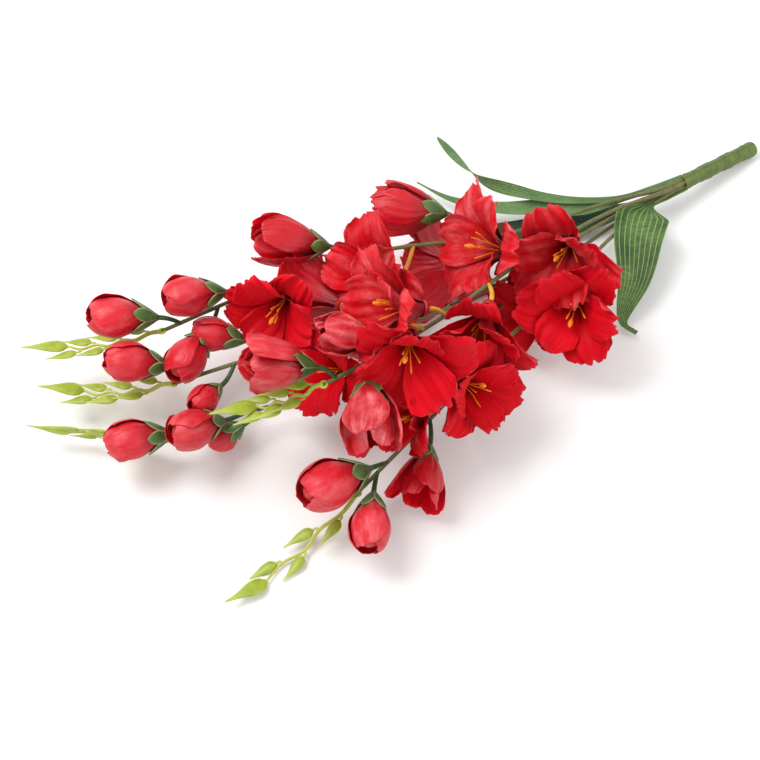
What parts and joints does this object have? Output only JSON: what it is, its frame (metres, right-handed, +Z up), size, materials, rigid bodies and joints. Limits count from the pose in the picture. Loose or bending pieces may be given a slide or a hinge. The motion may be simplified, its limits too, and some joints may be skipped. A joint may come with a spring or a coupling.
{
  "type": "artificial gladiolus bunch",
  "caption": "Bunch of artificial gladiolus spikes lying flat: wire stems taped together, red silk blooms, half-open florets and buds, light green tips and long leaves.",
  "frame": {"origin": "centre of the bunch's bounding box in plan, on the surface that it lies on", "axes": "+X along the bunch towards the taped stem's end, +Y to its back across the bunch, +Z up from the surface"},
  "size_m": [0.6257, 0.2933, 0.1518],
  "materials": {
    "petal": "woven silk petals with a soft sheen",
    "stamen": "moulded orange filaments",
    "stem": "plastic-coated wire with moulded calyces",
    "tip": "moulded light green buds",
    "leaf": "printed fabric with raised veins",
    "tape": "stretched florist's tape, wound in a spiral"
  },
  "bodies": {
    "root": {"bloom_a4": "petal", "bloom_a6": "petal", "bloom_a8": "petal", "bloom_b4": "petal", "bloom_c4": "petal", "bloom_c5": "petal", "bloom_d4": "petal", "bloom_d5": "petal", "bloom_d6": "petal", "bloom_d7": "petal", "bloom_d8": "petal", "bloom_e4": "petal", "bloom_e5": "petal", "bloom_e6": "petal", "bud_a1": "petal", "bud_a2": "petal", "bud_a3": "petal", "bud_b1": "petal", "bud_b2": "petal", "bud_b3": "petal", "bud_c1": "petal", "bud_c2": "petal", "bud_c3": "petal", "bud_e1": "petal", "bud_e2": "petal", "goblet_a5": "petal", "goblet_a7": "petal", "goblet_d1": "petal", "goblet_d2": "petal", "goblet_d3": "petal", "goblet_e3": "petal", "leaf_broad": "leaf", "leaf_straight": "leaf", "leaf_twisted": "leaf", "leaf_under": "leaf", "stamens_a4": "stamen", "stamens_a6": "stamen", "stamens_a8": "stamen", "stamens_b4": "stamen", "stamens_c4": "stamen", "stamens_c5": "stamen", "stamens_d4": "stamen", "stamens_d5": "stamen", "stamens_d6": "stamen", "stamens_d7": "stamen", "stamens_d8": "stamen", "stamens_e4": "stamen", "stamens_e5": "stamen", "stamens_e6": "stamen", "stem_a": "stem", "stem_b": "stem", "stem_c": "stem", "stem_d": "stem", "stem_e": "stem", "taped_stem": "tape", "tip_a": "tip", "tip_b": "tip", "tip_c": "tip", "tip_d": "tip", "tip_e": "tip"}
  },
  "joints": []
}
